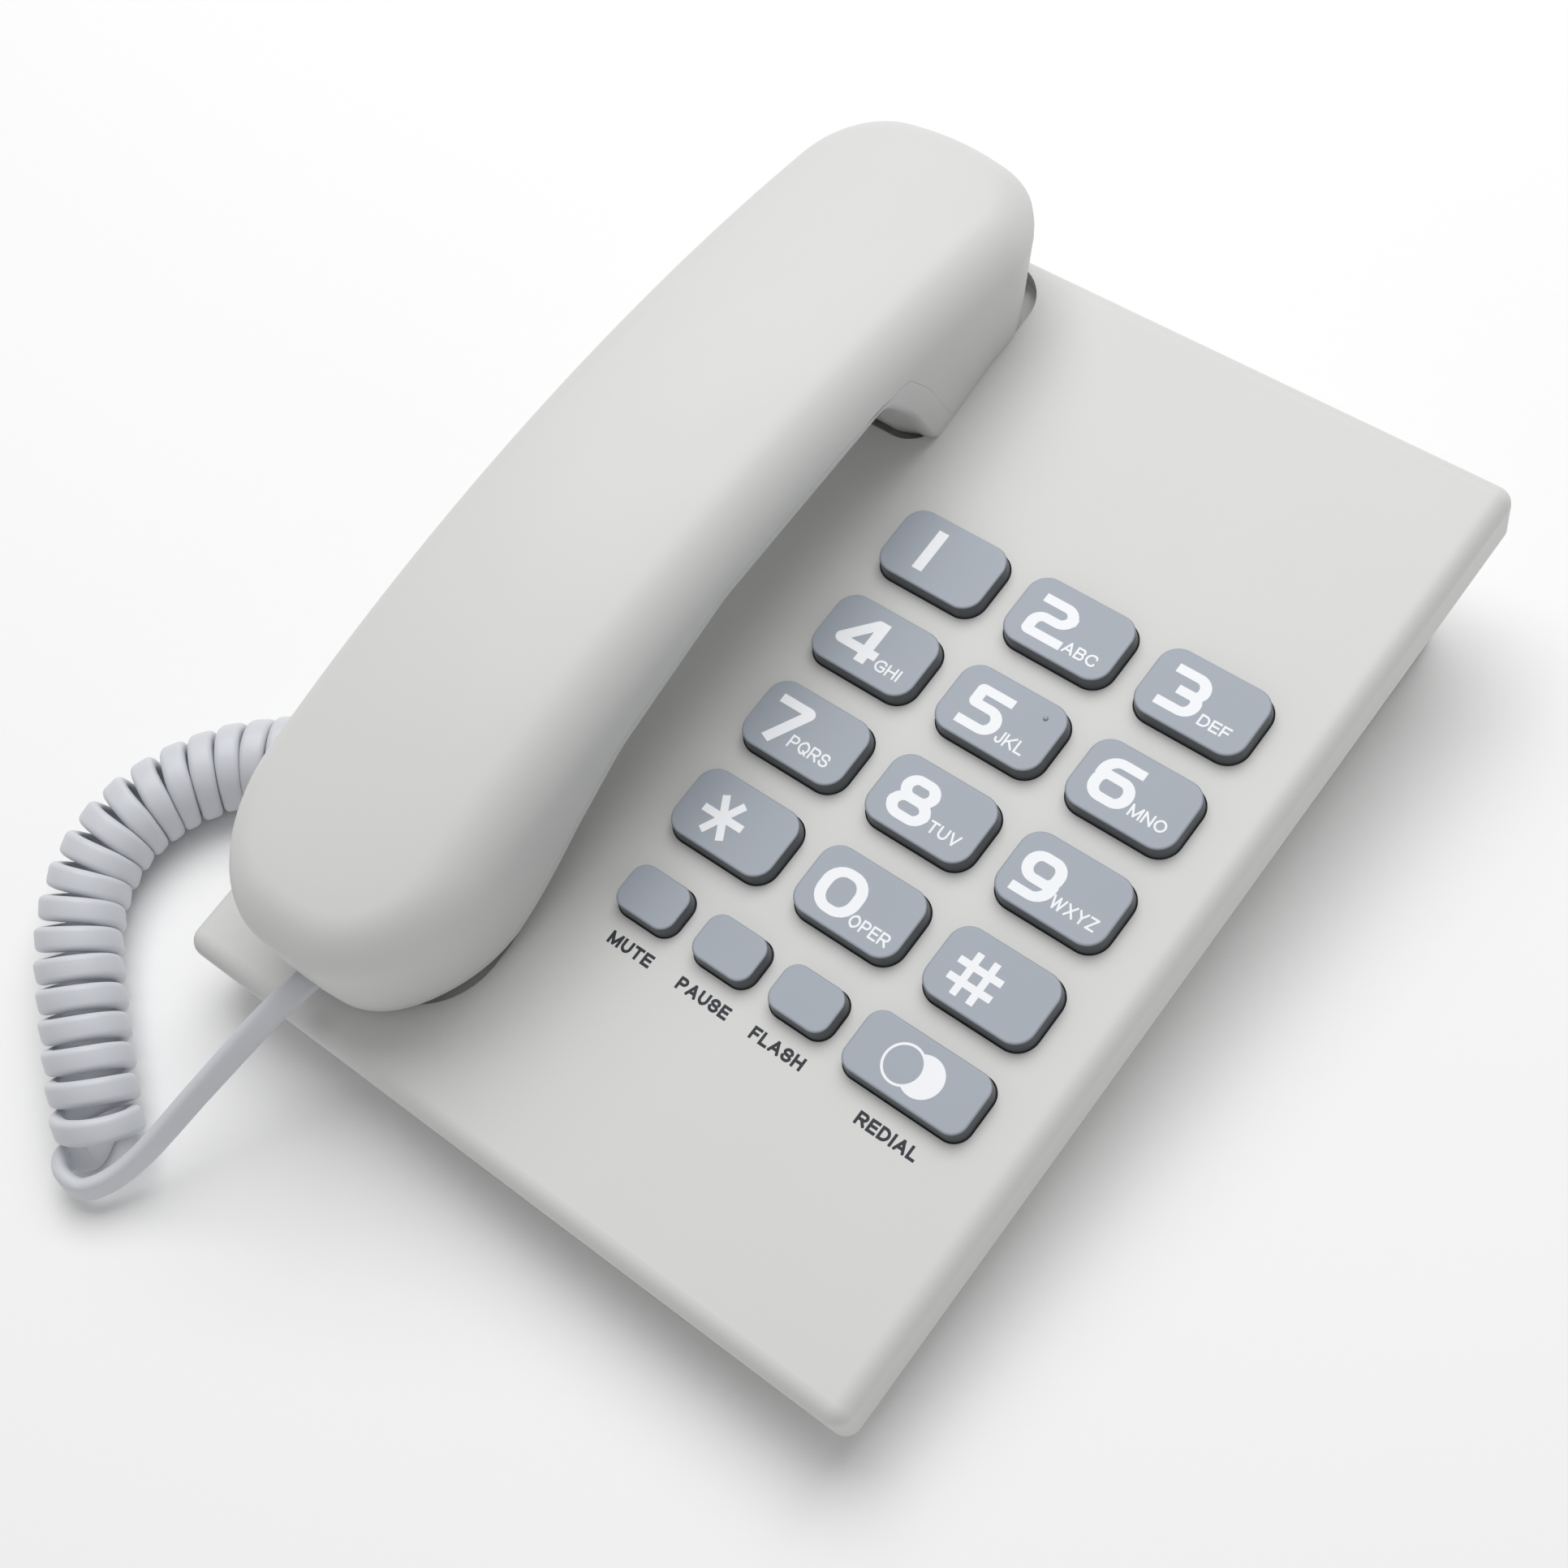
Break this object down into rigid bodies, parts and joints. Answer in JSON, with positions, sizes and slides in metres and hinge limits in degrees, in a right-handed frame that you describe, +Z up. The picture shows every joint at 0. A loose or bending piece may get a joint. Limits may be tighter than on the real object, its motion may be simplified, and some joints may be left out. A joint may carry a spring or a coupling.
{
  "type": "corded landline phone",
  "caption": "Desk and wall telephone: sloping base with a keypad, an arched handset resting along its left side, and a coiled handset cord.",
  "frame": {"origin": "middle of the pair of wall-mount keyholes, on the underside plane of the bottom cover", "axes": "+X to the right of a person using the phone, +Y towards the back (away from that person), +Z up; the top plate slopes 6 degrees, lower at the front"},
  "size_m": [0.1894, 0.239, 0.0699],
  "materials": {
    "light_plastic": "fine satin moulding texture, warm light grey",
    "key_plastic": "satin blue-grey",
    "cord_vinyl": "soft satin vinyl, cool light grey",
    "dark_plastic": "satin black",
    "socket_plastic": "satin dark grey",
    "capsule_plastic": "satin black",
    "clear_plug": "clear polycarbonate, glossy",
    "foot_rubber": "matte",
    "silicone": "matte translucent grey",
    "foam": "open-cell foam",
    "zinc_steel": "zinc plated",
    "spring_steel": "drawn wire",
    "weight_steel": "plain sheared steel",
    "board_laminate": "paper laminate board, tan",
    "chip_black": "matte epoxy",
    "capacitor_can": "sleeved can",
    "resistor_body": "lacquered",
    "contact_gold": "gold flashed wire"
  },
  "bodies": {
    "base": {"base_top_cover": "light_plastic", "base_bottom_cover": "light_plastic", "rubber_feet": "foot_rubber", "base_screws": "zinc_steel", "main_board": "board_laminate", "board_screws": "zinc_steel", "dialler_chip": "chip_black", "capacitors": "capacitor_can", "resistors": "resistor_body", "keypad_sheet": "silicone", "line_jack": "socket_plastic", "line_jack_contacts": "contact_gold", "cord_jack": "socket_plastic", "dial_mode_switch": "socket_plastic", "ringer_switch": "socket_plastic", "hook_spring": "spring_steel", "hook_switch": "socket_plastic", "hanging_tab": "light_plastic", "cord_plug_base": "clear_plug", "sounder": "socket_plastic", "ballast_plate": "weight_steel", "coil_cord": "cord_vinyl"},
    "handset": {"handset_outer_shell": "light_plastic", "handset_inner_shell": "light_plastic", "handset_screws": "zinc_steel", "receiver_capsule": "capsule_plastic", "receiver_gasket": "foam", "microphone": "capacitor_can", "microphone_boot": "foot_rubber", "handset_jack": "socket_plastic", "handset_weight": "weight_steel", "cord_plug_handset": "clear_plug"},
    "hook_plunger": {"hook_plunger": "light_plastic"},
    "dial_mode_knob": {"dial_mode_knob": "dark_plastic"},
    "ringer_knob": {"ringer_knob": "dark_plastic"},
    "key_1": {"key_1": "key_plastic"},
    "key_2": {"key_2": "key_plastic"},
    "key_3": {"key_3": "key_plastic"},
    "key_4": {"key_4": "key_plastic"},
    "key_5": {"key_5": "key_plastic"},
    "key_6": {"key_6": "key_plastic"},
    "key_7": {"key_7": "key_plastic"},
    "key_8": {"key_8": "key_plastic"},
    "key_9": {"key_9": "key_plastic"},
    "key_star": {"key_star": "key_plastic"},
    "key_0": {"key_0": "key_plastic"},
    "key_hash": {"key_hash": "key_plastic"},
    "key_mute": {"key_mute": "key_plastic"},
    "key_pause": {"key_pause": "key_plastic"},
    "key_flash": {"key_flash": "key_plastic"},
    "key_redial": {"key_redial": "key_plastic"}
  },
  "joints": [
    {"name": "handset_lift", "type": "slide", "parent": "base", "child": "handset", "axis": [0, -0.1045, 0.9945], "range_m": [0, 0.08]},
    {"name": "hook_rise", "type": "slide", "parent": "base", "child": "hook_plunger", "axis": [0, -0.1045, 0.9945], "range_m": [0, 0.004], "deforming": ["hook_spring"]},
    {"name": "dial_mode_slide", "type": "slide", "parent": "base", "child": "dial_mode_knob", "axis": [1, 0, 0], "range_m": [0, 0.004]},
    {"name": "ringer_slide", "type": "slide", "parent": "base", "child": "ringer_knob", "axis": [1, 0, 0], "range_m": [0, 0.004]},
    {"name": "key_1_press", "type": "slide", "parent": "base", "child": "key_1", "axis": [0, -0.1045, 0.9945], "range_m": [-0.0015, 0]},
    {"name": "key_2_press", "type": "slide", "parent": "base", "child": "key_2", "axis": [0, -0.1045, 0.9945], "range_m": [-0.0015, 0]},
    {"name": "key_3_press", "type": "slide", "parent": "base", "child": "key_3", "axis": [0, -0.1045, 0.9945], "range_m": [-0.0015, 0]},
    {"name": "key_4_press", "type": "slide", "parent": "base", "child": "key_4", "axis": [0, -0.1045, 0.9945], "range_m": [-0.0015, 0]},
    {"name": "key_5_press", "type": "slide", "parent": "base", "child": "key_5", "axis": [0, -0.1045, 0.9945], "range_m": [-0.0015, 0]},
    {"name": "key_6_press", "type": "slide", "parent": "base", "child": "key_6", "axis": [0, -0.1045, 0.9945], "range_m": [-0.0015, 0]},
    {"name": "key_7_press", "type": "slide", "parent": "base", "child": "key_7", "axis": [0, -0.1045, 0.9945], "range_m": [-0.0015, 0]},
    {"name": "key_8_press", "type": "slide", "parent": "base", "child": "key_8", "axis": [0, -0.1045, 0.9945], "range_m": [-0.0015, 0]},
    {"name": "key_9_press", "type": "slide", "parent": "base", "child": "key_9", "axis": [0, -0.1045, 0.9945], "range_m": [-0.0015, 0]},
    {"name": "key_star_press", "type": "slide", "parent": "base", "child": "key_star", "axis": [0, -0.1045, 0.9945], "range_m": [-0.0015, 0]},
    {"name": "key_0_press", "type": "slide", "parent": "base", "child": "key_0", "axis": [0, -0.1045, 0.9945], "range_m": [-0.0015, 0]},
    {"name": "key_hash_press", "type": "slide", "parent": "base", "child": "key_hash", "axis": [0, -0.1045, 0.9945], "range_m": [-0.0015, 0]},
    {"name": "key_mute_press", "type": "slide", "parent": "base", "child": "key_mute", "axis": [0, -0.1045, 0.9945], "range_m": [-0.0015, 0]},
    {"name": "key_pause_press", "type": "slide", "parent": "base", "child": "key_pause", "axis": [0, -0.1045, 0.9945], "range_m": [-0.0015, 0]},
    {"name": "key_flash_press", "type": "slide", "parent": "base", "child": "key_flash", "axis": [0, -0.1045, 0.9945], "range_m": [-0.0015, 0]},
    {"name": "key_redial_press", "type": "slide", "parent": "base", "child": "key_redial", "axis": [0, -0.1045, 0.9945], "range_m": [-0.0015, 0]}
  ],
  "couplings": [
    {"joint": "hook_rise", "follows": "handset_lift", "ratio": 0.05}
  ]
}
